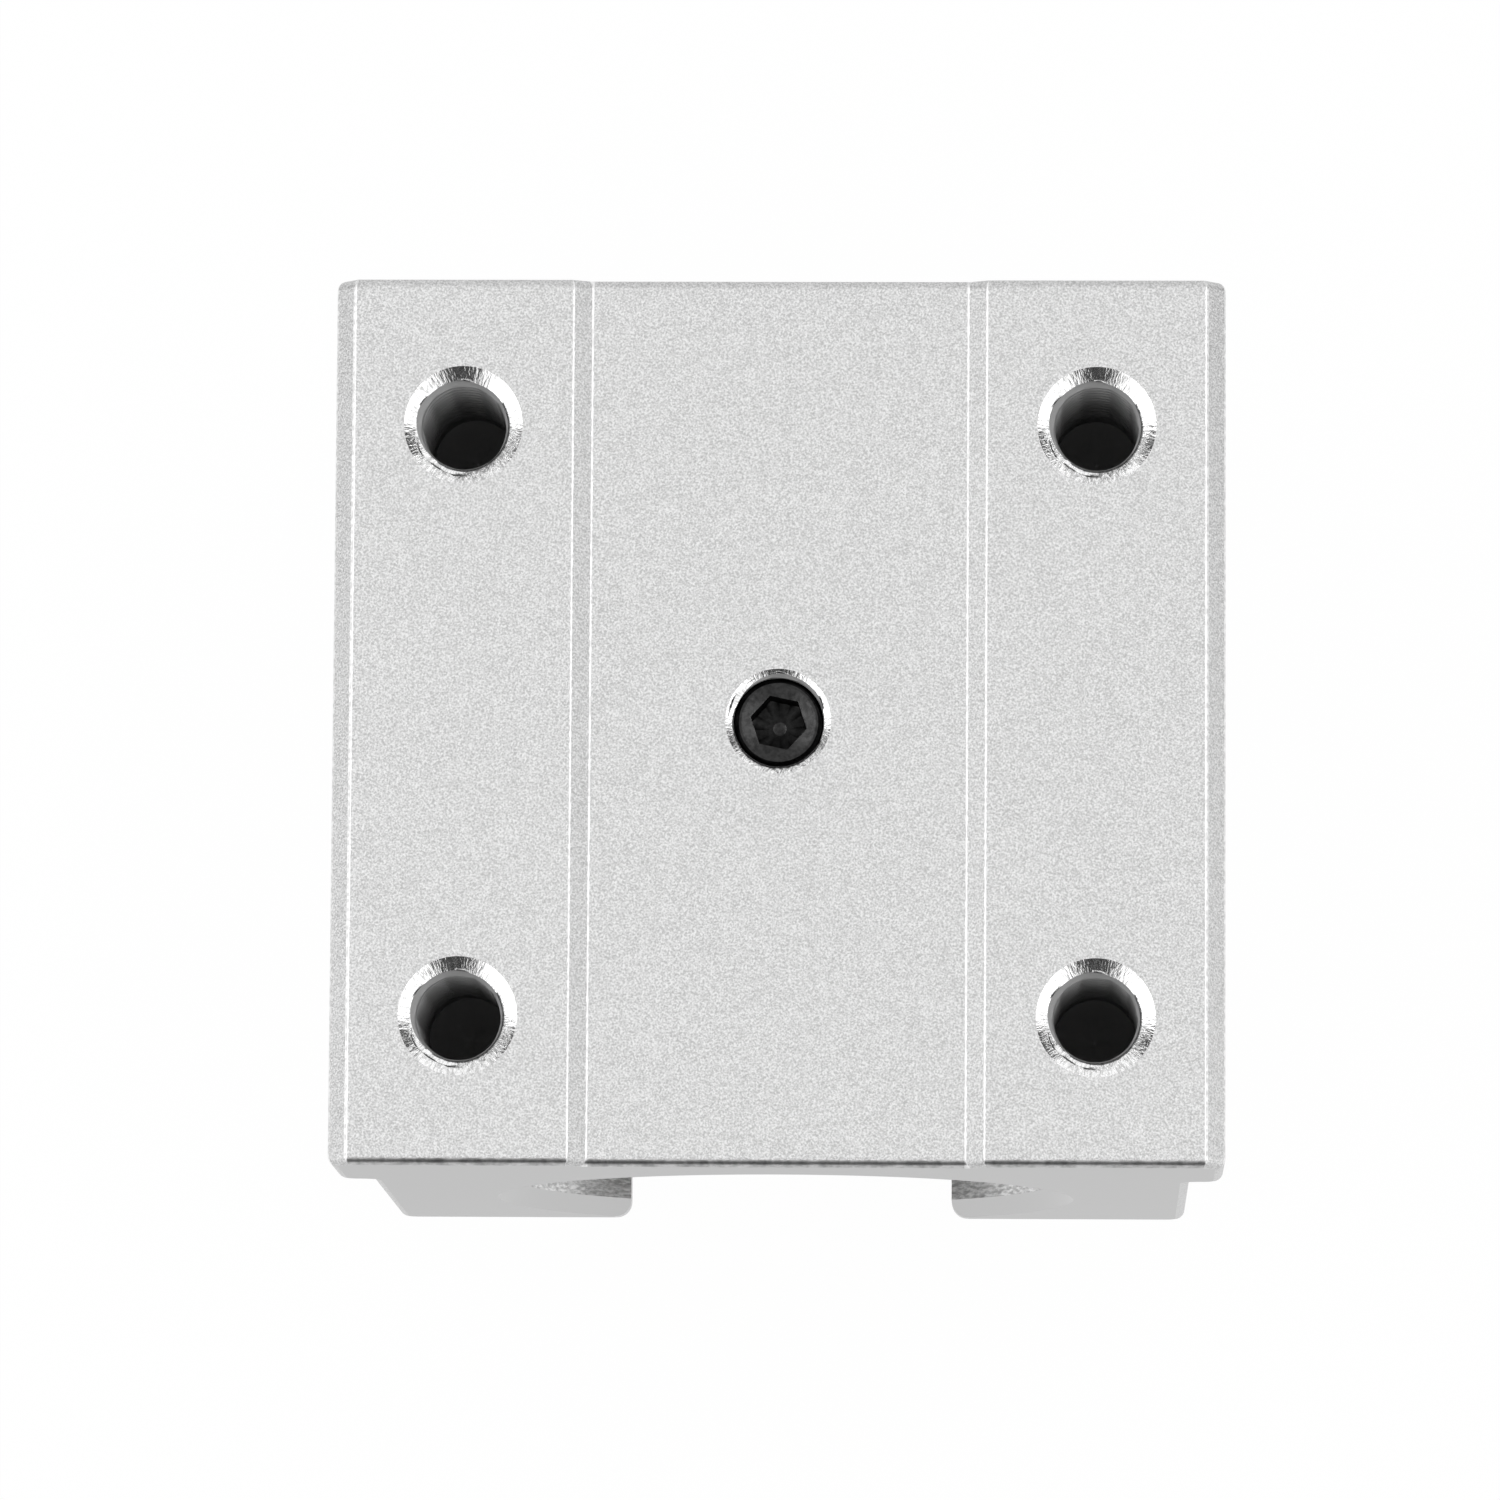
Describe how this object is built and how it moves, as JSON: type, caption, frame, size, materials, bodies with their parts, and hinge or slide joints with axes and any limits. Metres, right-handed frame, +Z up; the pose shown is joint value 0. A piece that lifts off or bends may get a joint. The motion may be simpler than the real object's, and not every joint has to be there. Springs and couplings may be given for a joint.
{
  "type": "linear bearing block",
  "caption": "Open linear ball bearing block in aluminium that slides along a shaft held from below by a support rail, with a tapped flange on top",
  "frame": {"origin": "on the floor plane under the middle of the block, between the feet", "axes": "shaft along Y, +Z up out of the mounting flange, +X across the shaft to the right when seen from the front end at -Y"},
  "size_m": [0.045, 0.045, 0.033],
  "materials": {
    "housing_block": "bead-blasted and clear anodised, with bright machined countersinks",
    "bushing_set_screw": "black oxide",
    "bushing_sleeve": "ground bearing steel",
    "ball_retainer": "moulded acetal resin",
    "front_circlip": "phosphated spring steel",
    "rear_circlip": "phosphated spring steel",
    "front_end_seal": "moulded nitrile rubber",
    "rear_end_seal": "moulded nitrile rubber",
    "upper_right_balls": "polished bearing steel",
    "lower_right_balls": "polished bearing steel",
    "upper_left_balls": "polished bearing steel",
    "lower_left_balls": "polished bearing steel"
  },
  "bodies": {
    "root": {"housing_block": "housing_block", "bushing_set_screw": "bushing_set_screw", "bushing_sleeve": "bushing_sleeve", "ball_retainer": "ball_retainer", "front_circlip": "front_circlip", "rear_circlip": "rear_circlip", "front_end_seal": "front_end_seal", "rear_end_seal": "rear_end_seal", "upper_right_balls": "upper_right_balls", "lower_right_balls": "lower_right_balls", "upper_left_balls": "upper_left_balls", "lower_left_balls": "lower_left_balls"}
  },
  "joints": []
}
